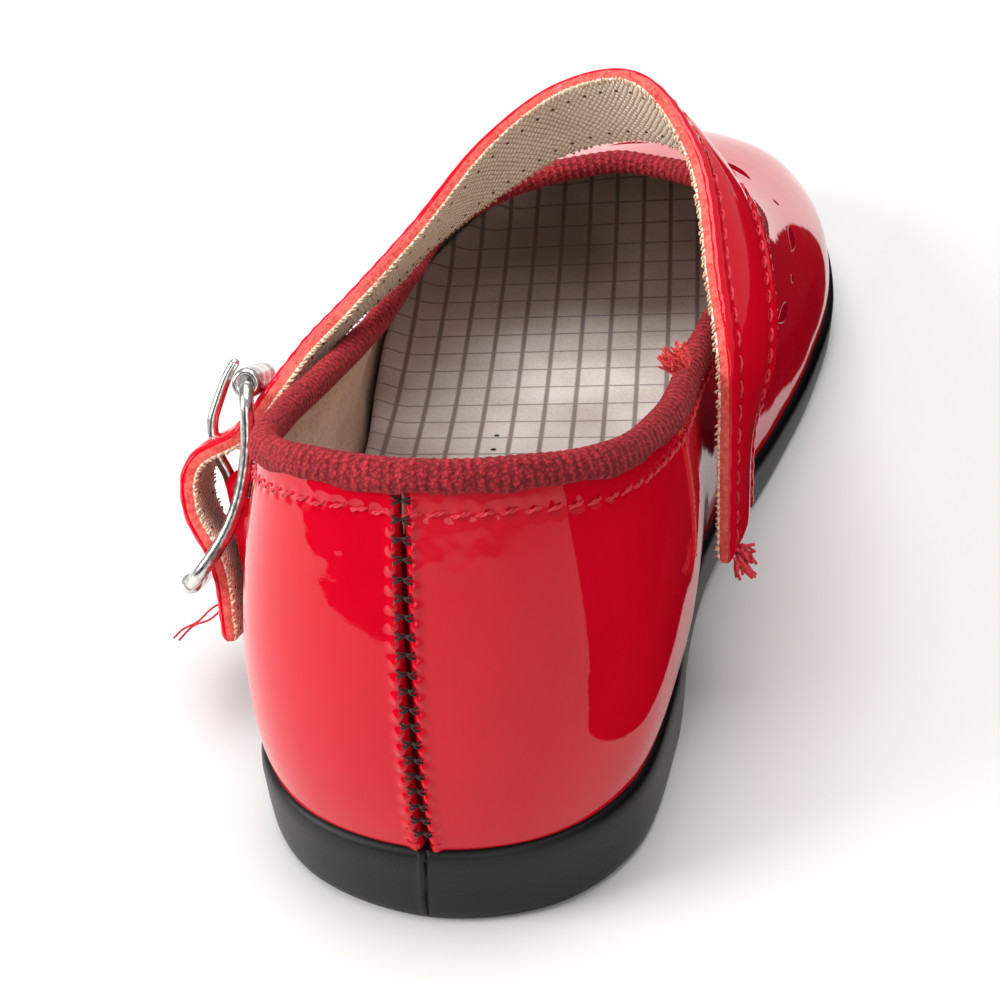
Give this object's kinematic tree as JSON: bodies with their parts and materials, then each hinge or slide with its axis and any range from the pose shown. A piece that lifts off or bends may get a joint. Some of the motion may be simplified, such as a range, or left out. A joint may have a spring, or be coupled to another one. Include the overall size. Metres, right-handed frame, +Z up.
{
  "type": "mary jane shoe",
  "caption": "Child's mary jane shoe for the left foot with a low-cut glossy upper, a bound topline, an instep strap with a side buckle and a low moulded rubber sole.",
  "frame": {"origin": "middle of the flat spot under the heel, on the floor plane", "axes": "+Z up; the toe points to -Y and the heel to +Y; +X is the outer side of the left foot, where the buckle sits"},
  "size_m": [0.0694, 0.1622, 0.0642],
  "materials": {
    "sole_rubber": "satin moulded black rubber",
    "insole_cloth": "matt taupe cloth with a printed grid",
    "patent_upper": "high-gloss red patent",
    "binding_tape": "dark red ribbed tape",
    "patent_strap": "high-gloss red patent on a beige woven backing",
    "buckle_metal": "aged silver plate"
  },
  "bodies": {
    "root": {"outsole": "sole_rubber", "insole": "insole_cloth", "upper": "patent_upper", "topline_binding": "binding_tape", "strap": "patent_strap", "buckle_tab": "patent_strap", "buckle_frame": "buckle_metal", "buckle_prong": "buckle_metal"}
  },
  "joints": []
}
